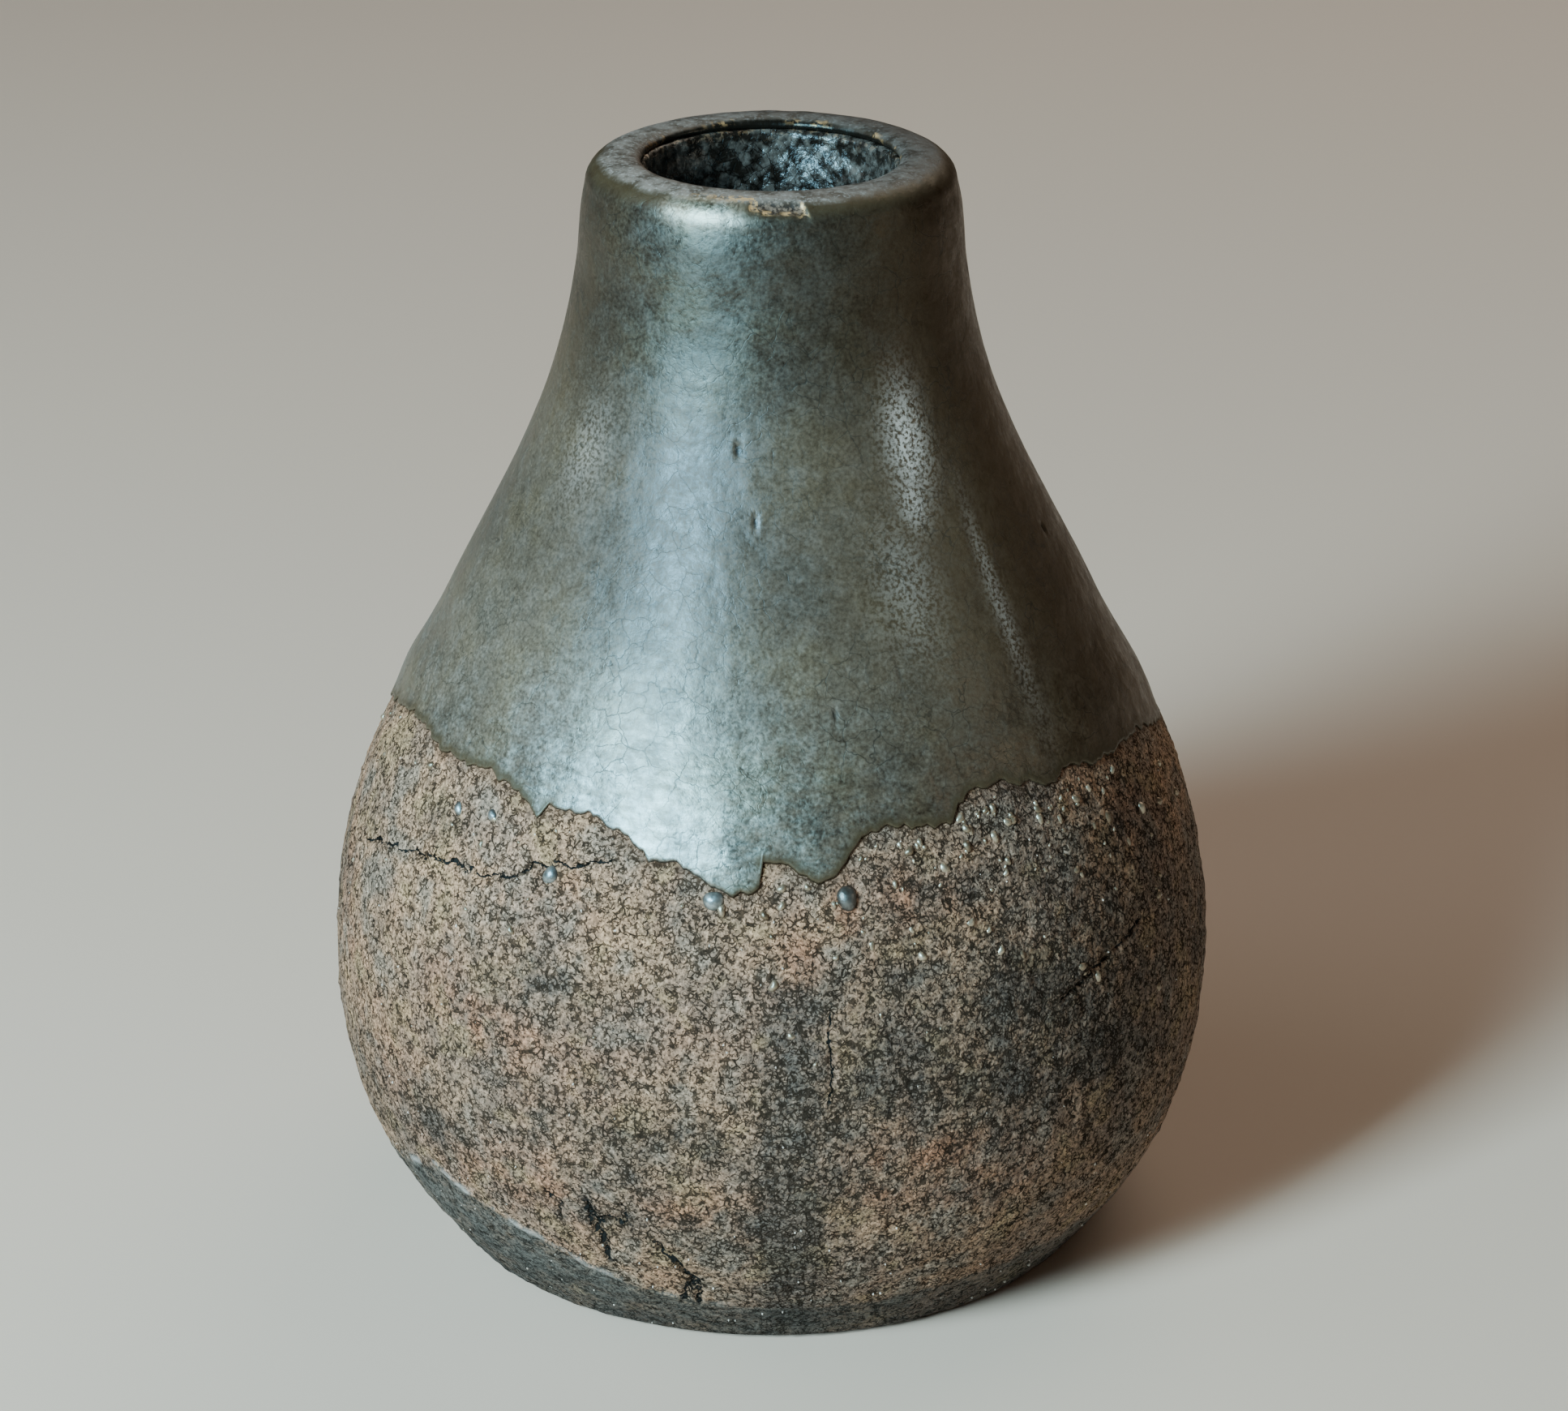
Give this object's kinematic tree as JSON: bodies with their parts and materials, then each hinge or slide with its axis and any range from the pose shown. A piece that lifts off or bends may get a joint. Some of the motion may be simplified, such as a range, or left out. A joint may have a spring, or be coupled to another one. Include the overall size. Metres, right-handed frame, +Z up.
{
  "type": "bud vase",
  "caption": "Pear-shaped wheel-thrown stoneware bud vase: thick round rim, narrow neck, full belly, flat foot, satin metallic glaze on the upper half over bare speckled clay.",
  "frame": {"origin": "middle of the flat foot, on the surface that the vase stands on", "axes": "+Z up along the axis the vase was turned on; -Y is the front, where the glaze runs lowest"},
  "size_m": [0.1122, 0.1122, 0.14],
  "materials": {
    "bare_clay": "unglazed, granular, speckled with dark cracks and smoke stains",
    "outer_glaze": "satin gunmetal, mottled, finely crackled",
    "liner_glaze": "glossy black, crazed",
    "glaze_beads": "glossy blue-grey drops"
  },
  "bodies": {
    "root": {"clay_body": "bare_clay", "outer_glaze": "outer_glaze", "liner_glaze": "liner_glaze", "glaze_bead_front": "glaze_beads", "glaze_bead_left": "glaze_beads", "glaze_bead_far_left": "glaze_beads", "glaze_bead_upper_left": "glaze_beads", "glaze_bead_right": "glaze_beads"}
  },
  "joints": []
}
